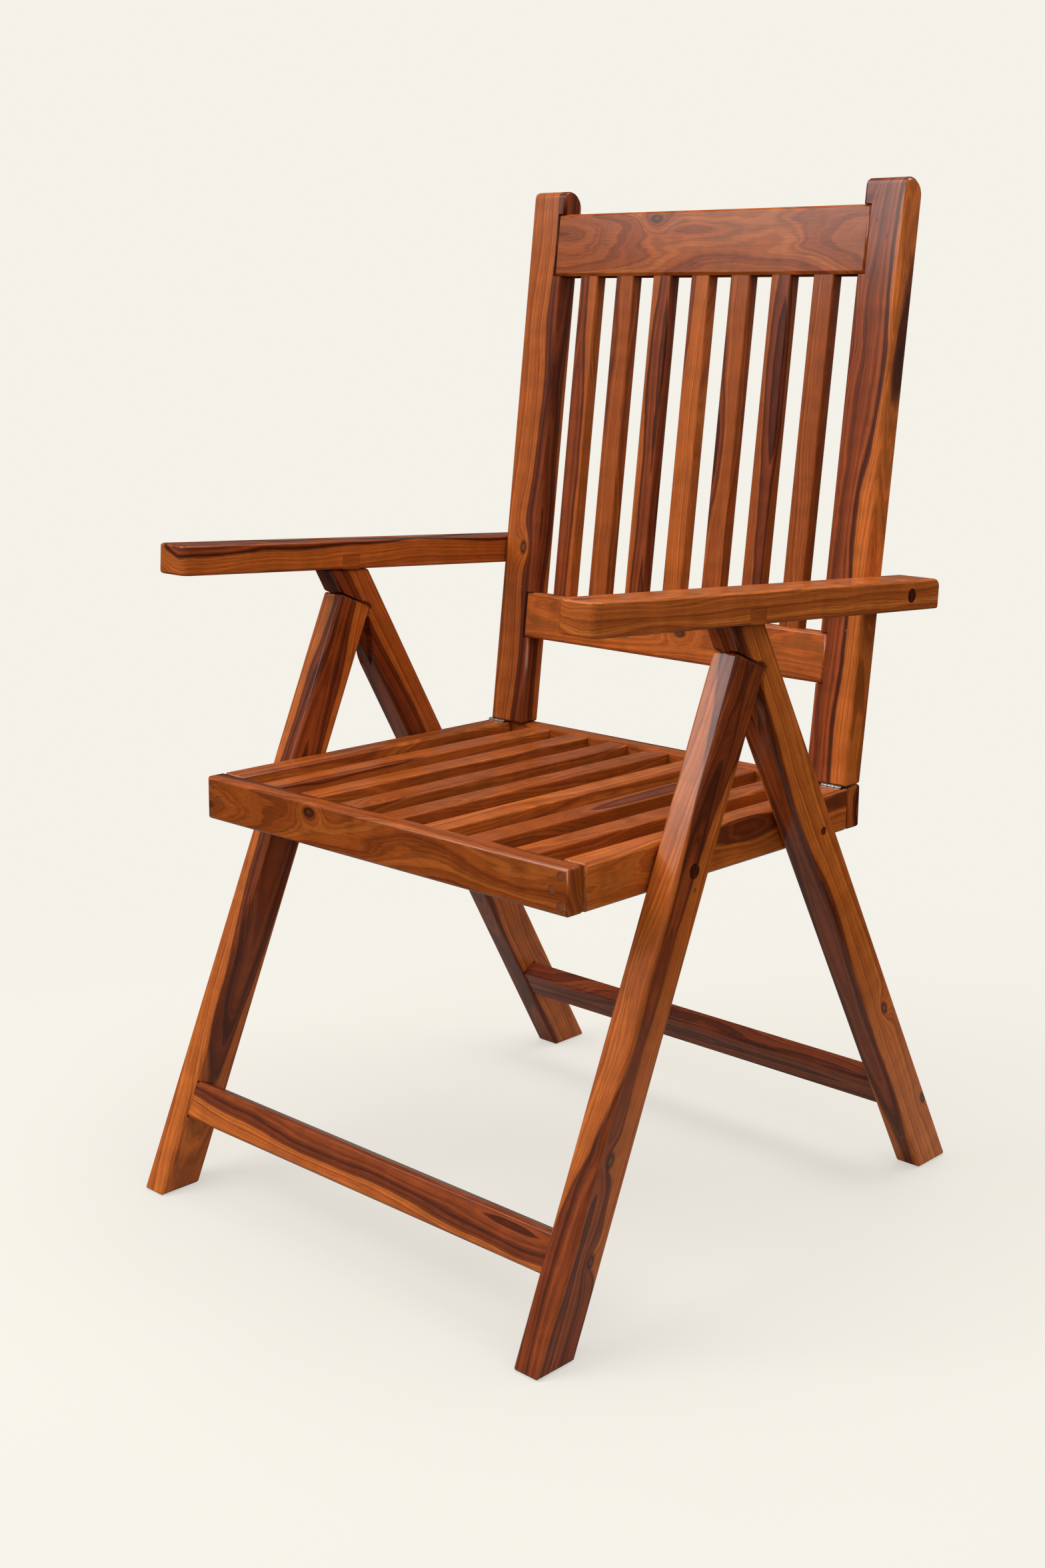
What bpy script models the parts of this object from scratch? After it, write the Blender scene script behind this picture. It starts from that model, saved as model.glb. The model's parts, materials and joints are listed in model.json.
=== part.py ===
"""Slatted hardwood folding armchair.

The chair faces -Y, the sitter's left is +X, and the floor is z = 0 under the middle
of the footprint. Front and rear legs close about a knuckle under each arm, the seat
swings about bolts in the front legs and hooks over pegs in the rear legs, the back
folds on butt hinges, and the arms turn on the back's stiles.
"""
import math

import bmesh
import bpy
from mathutils import Matrix, Vector

# Driving dimensions, in metres
FOOTPRINT_DEPTH = 0.6716
SEAT_TOP = 0.442
SEAT_WIDTH = 0.499
SEAT_DEPTH = 0.451
SEAT_OVERHANG = 0.1343
SEAT_RAIL_HEIGHT = 0.045
SIDE_RAIL_THICK = 0.028
END_RAIL_THICK = 0.022
SEAT_SLAT_COUNT = 7
SEAT_SLAT_WIDTH = 0.028
SEAT_SLAT_HEIGHT = 0.030

LEG_WIDTH = 0.0464
LEG_THICK = 0.0305
FRONT_LEG_RAKE = math.atan(0.425)
REAR_LEG_RAKE = math.atan(0.584)
LEG_SEAT_GAP = 0.0025
KNUCKLE_SHIFT = 0.60
KNUCKLE_END = 0.022
KNUCKLE_PIN_RADIUS = 0.003
KNUCKLE_PIN_COVER = 0.004
KNUCKLE_CLOSING = math.radians(35)
KNUCKLE_STEPS = 4
TONGUE_THICK = 0.010
STRETCHER_WIDTH = 0.039
STRETCHER_THICK = 0.022
FRONT_STRETCHER_RISE = 0.076
REAR_STRETCHER_RISE = 0.102

STILE_WIDTH = 0.050
STILE_DEPTH = 0.0286
STILE_LENGTH = 0.6098
STILE_SETBACK = 0.001
STILE_CROWN_BACK = 0.018
STILE_CROWN_FRONT = 0.007
BACK_LEAN = math.atan(0.112)
TOP_RAIL_DROP = 0.026
TOP_RAIL_HEIGHT = 0.069
LOWER_RAIL_RISE = 0.1016
LOWER_RAIL_HEIGHT = 0.0525
BACK_RAIL_THICK = 0.024
BACK_SLAT_COUNT = 7
BACK_SLAT_WIDTH = 0.0255
BACK_SLAT_THICK = 0.0155
BACK_SLAT_EDGE = 0.0411
BACK_SLAT_SETBACK = 0.003

ARM_LENGTH = 0.532
ARM_WIDTH = 0.045
ARM_HEIGHT = 0.0305
ARM_TAIL = 0.052
ARM_RISE = 0.0235
ARM_PITCH = math.atan(0.0512)
ARM_NOSE = 0.009
BLOCK_LENGTH = 0.024
BLOCK_HEIGHT = 0.015

HINGE_RADIUS = 0.0025
HINGE_WIDTH = 0.024
HINGE_LEAF = 0.018
HINGE_SHEET = 0.0015
BARREL_EASE = 0.0002
BOLT_RADIUS = 0.003
BOLT_HEAD_RADIUS = 0.006
BOLT_HEAD_HEIGHT = 0.004
BOLT_END_REACH = 0.009
WASHER_RADIUS = 0.008
NUT_RADIUS = 0.006
NUT_THICK = 0.005
PLUG_RADIUS = 0.007
PLUG_LENGTH = 0.004
PEG_RADIUS = 0.004
PEG_REACH = 0.010
PEG_BACK = 0.007
PEG_SLOT_SLOPE = math.radians(22)
SCREW_RADIUS = 0.002
SCREW_HEAD_RADIUS = 0.004
SCREW_LENGTH = 0.045
SCREW_POINT = 0.006
SCREW_SUNK = 0.0005
SCREW_SPREAD = 0.014
SCREW_STAGGER = 0.005

# Fits
GAP = 0.0003
SLOT_EASE = 0.0012
HOUSING_DEPTH = 0.010
OVERCUT = 0.002
DRILL_PAST = 0.01
ARRIS = 0.0025
SLAT_ARRIS = 0.0018

# Places that follow from the driving dimensions
FRONT_FOOT_Y = -FOOTPRINT_DEPTH / 2 + LEG_WIDTH / math.cos(FRONT_LEG_RAKE) / 2
REAR_FOOT_Y = FOOTPRINT_DEPTH / 2 - LEG_WIDTH / math.cos(REAR_LEG_RAKE) / 2
LEG_X = SEAT_WIDTH / 2 + LEG_SEAT_GAP + LEG_THICK / 2
STILE_X = (SEAT_WIDTH - STILE_WIDTH) / 2
ARM_X = SEAT_WIDTH / 2 + GAP + ARM_WIDTH / 2


def legs_meet(front_y, rear_y):
    """Where two raked lines from these floor points cross, as (0, y, z)."""
    z = (rear_y - front_y) / (math.tan(FRONT_LEG_RAKE) + math.tan(REAR_LEG_RAKE))
    return Vector((0, front_y + z * math.tan(FRONT_LEG_RAKE), z))


CENTRES_MEET = legs_meet(FRONT_FOOT_Y, REAR_FOOT_Y)
CROTCH = legs_meet(FRONT_FOOT_Y + LEG_WIDTH / math.cos(FRONT_LEG_RAKE) / 2,
                   REAR_FOOT_Y - LEG_WIDTH / math.cos(REAR_LEG_RAKE) / 2)
KNUCKLE = CENTRES_MEET.lerp(CROTCH, KNUCKLE_SHIFT)
PIVOT_Z = SEAT_TOP - SEAT_RAIL_HEIGHT / 2
SEAT_PIVOT = Vector((0, FRONT_FOOT_Y + PIVOT_Z * math.tan(FRONT_LEG_RAKE), PIVOT_Z))
SEAT_FRONT_Y = SEAT_PIVOT.y - SEAT_OVERHANG
SEAT_BACK_Y = SEAT_FRONT_Y + SEAT_DEPTH
STILE_FOOT_Y = SEAT_BACK_Y - STILE_DEPTH / math.cos(BACK_LEAN) - STILE_SETBACK
HINGE_OFFSET = HINGE_RADIUS + GAP
BACK_PIVOT = Vector((0, STILE_FOOT_Y - HINGE_OFFSET, SEAT_TOP + GAP / 2))
ARM_REST = Vector((0, CENTRES_MEET.y, CENTRES_MEET.z + ARM_RISE))


def arm_pivot():
    """The point where the arm's centre line meets the stile's centre line."""
    arm_z = ARM_REST.z + ARM_HEIGHT / 2 / math.cos(ARM_PITCH)
    stile_y = STILE_FOOT_Y + STILE_DEPTH / 2 / math.cos(BACK_LEAN)
    lean = math.tan(BACK_LEAN)
    fall = math.tan(ARM_PITCH)
    z = (arm_z + fall * (ARM_REST.y - stile_y + lean * SEAT_TOP)) / (1 + fall * lean)
    return Vector((0, stile_y + lean * (z - SEAT_TOP), z))


ARM_PIVOT = arm_pivot()
FRONT_TURN = Matrix.Rotation(-FRONT_LEG_RAKE, 4, 'X')
REAR_TURN = Matrix.Rotation(REAR_LEG_RAKE, 4, 'X')
BACK_TURN = Matrix.Rotation(-BACK_LEAN, 4, 'X')
ARM_TURN = Matrix.Rotation(-ARM_PITCH, 4, 'X')

for old in list(bpy.data.objects):
    bpy.data.objects.remove(old, do_unlink=True)

chair = bpy.data.collections.new("folding_armchair")
cutters = bpy.data.collections.new("cutters")
for group in (chair, cutters):
    bpy.context.scene.collection.children.link(group)


def make_material(name, colour, roughness, metallic=0.0):
    material = bpy.data.materials.new(name)
    material.use_nodes = True
    shader = material.node_tree.nodes["Principled BSDF"]
    shader.inputs["Base Color"].default_value = (*colour, 1)
    shader.inputs["Roughness"].default_value = roughness
    shader.inputs["Metallic"].default_value = metallic
    return material


WOOD_ORANGE = make_material("wood_orange", (0.43, 0.13, 0.03), 0.3)
WOOD_BROWN = make_material("wood_brown", (0.28, 0.075, 0.022), 0.3)
WOOD_DARK = make_material("wood_dark", (0.13, 0.035, 0.014), 0.3)
STEEL = make_material("zinc_steel", (0.55, 0.55, 0.53), 0.35, 1.0)


def empty(name, place):
    guide = bpy.data.objects.new(name, None)
    guide.location = place
    chair.objects.link(guide)
    return guide


def mesh_object(name, bm, group):
    mesh = bpy.data.meshes.new(name)
    bm.to_mesh(mesh)
    bm.free()
    piece = bpy.data.objects.new(name, mesh)
    group.objects.link(piece)
    return piece


def settle(piece, place, turn, parent, material):
    """Put a piece at a world place and turn, under the empty on its joint's axis."""
    piece.parent = parent
    piece.matrix_basis = Matrix.Translation(Vector(place) - parent.location) @ turn
    piece.data.materials.append(material)
    return piece


def box_mesh(size, centre=(0, 0, 0)):
    bm = bmesh.new()
    bmesh.ops.create_cube(bm, size=1)
    bmesh.ops.scale(bm, vec=size, verts=bm.verts)
    bmesh.ops.translate(bm, vec=centre, verts=bm.verts)
    return bm


def trim(bm, point, normal):
    """Saw off what lies on the normal's side of a plane and close the end."""
    geometry = bm.verts[:] + bm.edges[:] + bm.faces[:]
    bmesh.ops.bisect_plane(bm, geom=geometry, plane_co=point, plane_no=normal,
                           clear_outer=True)
    bmesh.ops.holes_fill(bm, edges=[e for e in bm.edges if e.is_boundary])


def round_edges(bm, chosen, radius, segments=4):
    edges = [e for e in bm.edges if chosen(e.verts[0].co, e.verts[1].co)]
    bmesh.ops.bevel(bm, geom=edges, offset=radius, segments=segments, profile=0.5,
                    affect='EDGES', clamp_overlap=True)


def ease(piece, width, segments=1):
    """Take the sharp arrises off a board."""
    bevel = piece.modifiers.new("arris", 'BEVEL')
    bevel.width = width
    bevel.segments = segments
    bevel.limit_method = 'ANGLE'
    bevel.angle_limit = math.radians(30)


def board(name, size, place, turn, parent, material, arris=ARRIS, centre=(0, 0, 0)):
    piece = mesh_object(name, box_mesh(size, centre), chair)
    settle(piece, place, turn, parent, material)
    ease(piece, arris)
    return piece


def as_cutter(cutter, matrix):
    cutter.matrix_world = matrix
    cutter.hide_render = True
    cutter.display_type = 'WIRE'
    return cutter


def box_cutter(name, size, matrix, centre=(0, 0, 0)):
    return as_cutter(mesh_object(name, box_mesh(size, centre), cutters), matrix)


def rod_mesh(radius, length, sides=24):
    """A round bar along X, centred on the origin."""
    bm = bmesh.new()
    bmesh.ops.create_cone(bm, cap_ends=True, segments=sides, radius1=radius,
                          radius2=radius, depth=length)
    bmesh.ops.rotate(bm, matrix=Matrix.Rotation(math.pi / 2, 3, 'Y'), verts=bm.verts)
    return bm


def rod_cutter(name, radius, length, place):
    cutter = mesh_object(name, rod_mesh(radius, length), cutters)
    return as_cutter(cutter, Matrix.Translation(place))


def cut(piece, cutter):
    boolean = piece.modifiers.new(cutter.name, 'BOOLEAN')
    boolean.operation = 'DIFFERENCE'
    boolean.object = cutter
    boolean.solver = 'EXACT'


def join(piece, other):
    boolean = piece.modifiers.new(other.name, 'BOOLEAN')
    boolean.operation = 'UNION'
    boolean.object = other
    boolean.solver = 'EXACT'


def grown(size, clearance=GAP):
    return tuple(length + 2 * clearance for length in size)


def smooth(piece):
    piece.data.shade_smooth()
    piece.data.set_sharp_from_angle(angle=math.radians(35))


def turned(name, profile, place, turn, parent, material):
    """A turned piece: (radius, height) points from its top down, spun about Z."""
    bm = bmesh.new()
    ring = [bm.verts.new((radius, 0, height)) for radius, height in profile]
    for upper, lower in zip(ring, ring[1:]):
        bm.edges.new((upper, lower))
    piece = mesh_object(name, bm, chair)
    settle(piece, place, turn, parent, material)
    spin = piece.modifiers.new("spin", 'SCREW')
    spin.steps = 24
    spin.render_steps = 24
    spin.use_merge_vertices = True
    spin.merge_threshold = 0.00005
    return piece


def rod(name, radius, length, place, parent, material):
    piece = mesh_object(name, rod_mesh(radius, length), chair)
    settle(piece, place, Matrix.Identity(4), parent, material)
    smooth(piece)
    return piece


frame_root = empty("front_leg_frame", Vector((0, 0, 0)))
rear_root = empty("knuckle_axis", KNUCKLE)
seat_root = empty("seat_axis", SEAT_PIVOT)
back_root = empty("back_axis", BACK_PIVOT)
arm_root = empty("arm_axis", ARM_PIVOT)
SIDES = (("left", 1), ("right", -1))


def leg_sizes():
    """Length along each leg from its knuckle end or arm cut down to the floor."""
    front_length = (KNUCKLE.z / math.cos(FRONT_LEG_RAKE)) + KNUCKLE_END
    rear_length = (ARM_REST.z + LEG_WIDTH) / math.cos(REAR_LEG_RAKE)
    return front_length, rear_length


FRONT_LENGTH, REAR_LENGTH = leg_sizes()


def front_leg(name, x):
    """The leg's local Z runs up its centre line from the floor."""
    spare = LEG_WIDTH
    size = (LEG_THICK, LEG_WIDTH, FRONT_LENGTH + spare)
    bm = box_mesh(size, (0, 0, (FRONT_LENGTH - spare) / 2))
    floor = Vector((0, 0, -1))
    floor.rotate(FRONT_TURN.inverted())
    trim(bm, (0, 0, 0), floor)
    piece = mesh_object(name, bm, chair)
    settle(piece, (x, FRONT_FOOT_Y, 0), FRONT_TURN, frame_root, WOOD_BROWN)
    ease(piece, ARRIS)
    return piece


def rear_leg(name, x):
    """Sawn flat at the floor and along the arm's underside."""
    spare = LEG_WIDTH
    size = (LEG_THICK, LEG_WIDTH, REAR_LENGTH + spare)
    bm = box_mesh(size, (0, 0, (REAR_LENGTH - spare) / 2))
    floor = Vector((0, 0, -1))
    floor.rotate(REAR_TURN.inverted())
    trim(bm, (0, 0, 0), floor)
    under_arm = Vector((0, math.sin(ARM_PITCH), math.cos(ARM_PITCH)))
    under_arm.rotate(REAR_TURN.inverted())
    rest = REAR_TURN.inverted() @ (ARM_REST - Vector((0, REAR_FOOT_Y, GAP)))
    trim(bm, rest, under_arm)
    piece = mesh_object(name, bm, chair)
    settle(piece, (x, REAR_FOOT_Y, 0), REAR_TURN, rear_root, WOOD_ORANGE)
    ease(piece, ARRIS)
    return piece


def closing_turns():
    """The knuckle's angles from open to closed, as turns of the rear leg."""
    for step in range(KNUCKLE_STEPS):
        yield -KNUCKLE_CLOSING * step / (KNUCKLE_STEPS - 1)


def about_knuckle(angle):
    return (Matrix.Translation(KNUCKLE) @ Matrix.Rotation(angle, 4, 'X')
            @ Matrix.Translation(-KNUCKLE))


def knuckle(side, x, front, rear):
    """Fork in the front leg, tongue on the rear leg, and the pin through both."""
    ease_in_plane = 2 * SLOT_EASE
    cheek = (LEG_THICK - TONGUE_THICK) / 2
    tongue = (TONGUE_THICK + 2 * GAP, LEG_WIDTH + ease_in_plane, REAR_LENGTH + LEG_WIDTH)
    cheek_size = (cheek + OVERCUT, LEG_WIDTH + ease_in_plane, FRONT_LENGTH + SLOT_EASE)
    rear_place = Matrix.Translation((x, REAR_FOOT_Y, 0)) @ REAR_TURN
    front_place = Matrix.Translation((x, FRONT_FOOT_Y, 0)) @ FRONT_TURN
    for step, angle in enumerate(closing_turns()):
        slot = box_cutter(f"slot_{side}_{step}", tongue, about_knuckle(angle) @ rear_place,
                          (0, 0, tongue[2] / 2))
        cut(front, slot)
        for face, sign in (("outer", 1), ("inner", -1)):
            offset = sign * (TONGUE_THICK + cheek + OVERCUT) / 2
            recess = box_cutter(f"recess_{side}_{face}_{step}", cheek_size,
                                about_knuckle(-angle) @ front_place,
                                (offset, 0, cheek_size[2] / 2))
            cut(rear, recess)
    pin_length = LEG_THICK - 2 * KNUCKLE_PIN_COVER
    place = Vector((x, KNUCKLE.y, KNUCKLE.z))
    hole = rod_cutter(f"knuckle_hole_{side}", KNUCKLE_PIN_RADIUS + GAP,
                      pin_length + 2 * GAP, place)
    cut(front, hole)
    cut(rear, hole)
    rod(f"knuckle_pin_{side}", KNUCKLE_PIN_RADIUS, pin_length, place, frame_root, STEEL)


def stretcher(name, foot_y, turn, rise, front_face, parent, material):
    """A bar housed in both legs, its front face flush with theirs."""
    inner = 2 * (LEG_X - LEG_THICK / 2)
    size = (inner + 2 * HOUSING_DEPTH, STRETCHER_THICK, STRETCHER_WIDTH)
    along = rise + STRETCHER_WIDTH / 2
    across = front_face * (LEG_WIDTH - STRETCHER_THICK) / 2 - front_face * ARRIS
    place = Vector((0, foot_y, 0)) + turn @ Vector((0, across, along))
    board(name, size, place, turn, parent, material)
    return box_cutter(f"{name}_housing", grown(size), Matrix.Translation(place) @ turn)


front_housing = stretcher("front_stretcher", FRONT_FOOT_Y, FRONT_TURN,
                          FRONT_STRETCHER_RISE, -1, frame_root, WOOD_BROWN)
rear_housing = stretcher("rear_stretcher", REAR_FOOT_Y, REAR_TURN,
                         REAR_STRETCHER_RISE, -1, rear_root, WOOD_DARK)

SEAT_BOX = {
    "seat_front_rail": ((SEAT_WIDTH, END_RAIL_THICK, SEAT_RAIL_HEIGHT),
                        (0, SEAT_FRONT_Y + END_RAIL_THICK / 2, PIVOT_Z)),
    "seat_rear_rail": ((SEAT_WIDTH, END_RAIL_THICK, SEAT_RAIL_HEIGHT),
                       (0, SEAT_BACK_Y - END_RAIL_THICK / 2, PIVOT_Z)),
}


def seat_frame():
    """Front and rear rails run full width and the side rails butt between them."""
    rails = {}
    level = Matrix.Identity(4)
    for name, (size, place) in SEAT_BOX.items():
        rails[name] = board(name, size, place, level, seat_root, WOOD_BROWN)
    length = SEAT_DEPTH - 2 * END_RAIL_THICK - 2 * GAP
    for side, sign in SIDES:
        x = sign * (SEAT_WIDTH - SIDE_RAIL_THICK) / 2
        name = f"seat_side_rail_{side}"
        middle = (SEAT_FRONT_Y + SEAT_BACK_Y) / 2
        rails[name] = board(name, (SIDE_RAIL_THICK, length, SEAT_RAIL_HEIGHT),
                            (x, middle, PIVOT_Z), level, seat_root, WOOD_BROWN)
    return rails


def seat_slats(rails):
    """Slats flush with the frame's top, housed in the front and rear rails."""
    inner = SEAT_WIDTH - 2 * SIDE_RAIL_THICK
    spare = (inner - SEAT_SLAT_COUNT * SEAT_SLAT_WIDTH) / (SEAT_SLAT_COUNT + 1)
    length = SEAT_DEPTH - 2 * END_RAIL_THICK + 2 * HOUSING_DEPTH
    size = (SEAT_SLAT_WIDTH, length, SEAT_SLAT_HEIGHT)
    middle = (SEAT_FRONT_Y + SEAT_BACK_Y) / 2
    for count in range(SEAT_SLAT_COUNT):
        x = -inner / 2 + spare + SEAT_SLAT_WIDTH / 2 + count * (spare + SEAT_SLAT_WIDTH)
        place = Vector((x, middle, SEAT_TOP - SEAT_SLAT_HEIGHT / 2 - SLAT_ARRIS))
        tone = (WOOD_BROWN, WOOD_ORANGE)[count % 2]
        board(f"seat_slat_{count + 1}", size, place, Matrix.Identity(4), seat_root, tone,
              SLAT_ARRIS)
        housing = box_cutter(f"seat_slat_housing_{count + 1}", grown(size),
                             Matrix.Translation(place))
        cut(rails["seat_front_rail"], housing)
        cut(rails["seat_rear_rail"], housing)


def corner_screws(rails):
    """Three countersunk screws through each end of the front rail."""
    turn = Matrix.Rotation(math.pi / 2, 4, 'X')
    sink = SCREW_HEAD_RADIUS - SCREW_RADIUS
    profile = ((0, 0), (SCREW_HEAD_RADIUS, 0), (SCREW_RADIUS, -sink),
               (SCREW_RADIUS, SCREW_POINT - SCREW_LENGTH), (0, -SCREW_LENGTH))
    mouth = SCREW_HEAD_RADIUS + GAP
    shank = SCREW_RADIUS + GAP
    bottom = -SCREW_LENGTH - GAP
    bore = ((0, OVERCUT), (mouth, OVERCUT), (mouth, -GAP), (shank, -sink - GAP),
            (shank, bottom), (0, bottom))
    for side, sign in SIDES:
        x = sign * (SEAT_WIDTH - SIDE_RAIL_THICK) / 2
        for number, row in enumerate((1, 0, -1), 1):
            across = SCREW_STAGGER if row else -SCREW_STAGGER
            place = Vector((x + sign * across, SEAT_FRONT_Y + SCREW_SUNK,
                            PIVOT_Z + row * SCREW_SPREAD))
            name = f"corner_screw_{side}_{number}"
            turned(name, profile, place, turn, seat_root, STEEL)
            hole = turned(f"{name}_hole", bore, place, turn, seat_root, STEEL)
            chair.objects.unlink(hole)
            cutters.objects.link(hole)
            hole.hide_render = True
            hole.display_type = 'WIRE'
            cut(rails["seat_front_rail"], hole)
            cut(rails[f"seat_side_rail_{side}"], hole)


def seat_pivot(side, sign, leg, rail):
    """A plugged coach bolt through the front leg and the side rail."""
    inner = SEAT_WIDTH / 2 - SIDE_RAIL_THICK
    outer = LEG_X + LEG_THICK / 2
    sink = PLUG_LENGTH + BOLT_HEAD_HEIGHT + 2 * GAP
    tip = inner - BOLT_END_REACH
    place = Vector((sign * (outer - PLUG_LENGTH - GAP), SEAT_PIVOT.y, SEAT_PIVOT.z))
    turn = Matrix.Rotation(sign * math.pi / 2, 4, 'Y')
    reach = outer - PLUG_LENGTH - GAP - tip
    head = ((0, 0), (BOLT_HEAD_RADIUS, 0), (BOLT_HEAD_RADIUS, -BOLT_HEAD_HEIGHT),
            (BOLT_RADIUS, -BOLT_HEAD_HEIGHT), (BOLT_RADIUS, -reach), (0, -reach))
    turned(f"seat_pivot_bolt_{side}", head, place, turn, frame_root, STEEL)
    rod(f"seat_pivot_plug_{side}", PLUG_RADIUS, PLUG_LENGTH,
        (sign * (outer - PLUG_LENGTH / 2), SEAT_PIVOT.y, SEAT_PIVOT.z), frame_root, WOOD_DARK)
    middle = sign * (outer + tip) / 2
    bore = rod_cutter(f"seat_pivot_bore_{side}", BOLT_RADIUS + GAP, outer - tip + 2 * DRILL_PAST,
                      (middle, SEAT_PIVOT.y, SEAT_PIVOT.z))
    pocket = rod_cutter(f"seat_pivot_pocket_{side}", PLUG_RADIUS + GAP, 2 * sink,
                        (sign * outer, SEAT_PIVOT.y, SEAT_PIVOT.z))
    cut(leg, bore)
    cut(leg, pocket)
    cut(rail, bore)
    ring_gap = LEG_SEAT_GAP - 2 * GAP
    hollow_disc(f"seat_pivot_washer_{side}", WASHER_RADIUS, 24, ring_gap,
                (sign * (SEAT_WIDTH / 2 + LEG_SEAT_GAP / 2), SEAT_PIVOT.y, SEAT_PIVOT.z))
    hollow_disc(f"seat_pivot_nut_{side}", NUT_RADIUS, 6, NUT_THICK,
                (sign * (inner - GAP - NUT_THICK / 2), SEAT_PIVOT.y, SEAT_PIVOT.z))


def hollow_disc(name, radius, sides, length, place):
    """A washer or nut on the pivot bolt."""
    piece = mesh_object(name, rod_mesh(radius, length, sides), chair)
    settle(piece, place, Matrix.Identity(4), frame_root, STEEL)
    cut(piece, rod_cutter(f"{name}_hole", BOLT_RADIUS + GAP, length + 2 * DRILL_PAST, place))


def seat_peg(side, sign, leg, rail):
    """A dowel in the rear leg that the side rail's slot drops over."""
    z = PIVOT_Z
    centre_y = REAR_FOOT_Y - z * math.tan(REAR_LEG_RAKE)
    outer = LEG_X + LEG_THICK / 2
    tip = SEAT_WIDTH / 2 - PEG_REACH
    length = outer - tip
    place = Vector((sign * (outer + tip) / 2, centre_y + PEG_BACK, z))
    rod(f"seat_peg_{side}", PEG_RADIUS, length, place, rear_root, WOOD_DARK)
    cut(leg, rod_cutter(f"peg_hole_{side}", PEG_RADIUS + GAP, length + 2 * DRILL_PAST, place))
    width = 2 * (PEG_RADIUS + SLOT_EASE)
    depth = PEG_REACH + SLOT_EASE
    fall = SEAT_RAIL_HEIGHT
    slope = Matrix.Rotation(-PEG_SLOT_SLOPE, 4, 'X')
    slot = box_cutter(f"peg_slot_{side}", (2 * depth, width, fall),
                      Matrix.Translation((sign * SEAT_WIDTH / 2, place.y, z)) @ slope,
                      (0, 0, PEG_RADIUS + SLOT_EASE - fall / 2))
    cut(rail, slot)


def back_place(x, depth, height):
    """A point of the back, from the stile's foot along its depth and length."""
    return Vector((x, STILE_FOOT_Y, SEAT_TOP + GAP)) + BACK_TURN @ Vector((0, depth, height))


def stile(side, sign):
    """An upright with a rounded top, its foot sawn to stand on the seat frame."""
    spare = STILE_DEPTH
    size = (STILE_WIDTH, STILE_DEPTH, STILE_LENGTH + spare)
    bm = box_mesh(size, (0, STILE_DEPTH / 2, (STILE_LENGTH - spare) / 2))
    down = Vector((0, 0, -1))
    down.rotate(BACK_TURN.inverted())
    trim(bm, (0, 0, 0), down)
    top = STILE_LENGTH - GAP
    round_edges(bm, lambda a, b: min(a.z, b.z) > top and min(a.y, b.y) > STILE_DEPTH / 2,
                STILE_CROWN_BACK, 5)
    round_edges(bm, lambda a, b: min(a.z, b.z) > top and max(a.y, b.y) < STILE_DEPTH / 4,
                STILE_CROWN_FRONT, 3)
    piece = mesh_object(f"back_stile_{side}", bm, chair)
    settle(piece, back_place(sign * STILE_X, 0, 0), BACK_TURN, back_root, WOOD_BROWN)
    ease(piece, ARRIS)
    return piece


def back_rails(stiles):
    """Top and lower rails, flush in front and housed in the stiles."""
    inner = SEAT_WIDTH - 2 * STILE_WIDTH
    rails = []
    heights = (("back_top_rail", STILE_LENGTH - TOP_RAIL_DROP - TOP_RAIL_HEIGHT, TOP_RAIL_HEIGHT),
               ("back_lower_rail", LOWER_RAIL_RISE, LOWER_RAIL_HEIGHT))
    for name, start, height in heights:
        size = (inner + 2 * HOUSING_DEPTH, BACK_RAIL_THICK, height)
        place = back_place(0, BACK_RAIL_THICK / 2 + GAP, start + height / 2)
        rails.append(board(name, size, place, BACK_TURN, back_root, WOOD_ORANGE))
        housing = box_cutter(f"{name}_housing", grown(size),
                             Matrix.Translation(place) @ BACK_TURN)
        for upright in stiles:
            cut(upright, housing)
    return rails


def back_slats(rails):
    """Vertical slats housed in both rails."""
    bottom = LOWER_RAIL_RISE + LOWER_RAIL_HEIGHT - HOUSING_DEPTH
    top = STILE_LENGTH - TOP_RAIL_DROP - TOP_RAIL_HEIGHT + HOUSING_DEPTH
    size = (BACK_SLAT_WIDTH, BACK_SLAT_THICK, top - bottom)
    clear = SEAT_WIDTH - 2 * STILE_WIDTH
    pitch = (clear - 2 * BACK_SLAT_EDGE) / (BACK_SLAT_COUNT - 1)
    for count in range(BACK_SLAT_COUNT):
        x = (count - (BACK_SLAT_COUNT - 1) / 2) * pitch
        place = back_place(x, BACK_SLAT_SETBACK + BACK_SLAT_THICK / 2, (top + bottom) / 2)
        tone = (WOOD_ORANGE, WOOD_BROWN)[count % 2]
        board(f"back_slat_{count + 1}", size, place, BACK_TURN, back_root, tone, SLAT_ARRIS)
        housing = box_cutter(f"back_slat_housing_{count + 1}", grown(size),
                             Matrix.Translation(place) @ BACK_TURN)
        for rail in rails:
            cut(rail, housing)


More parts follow.
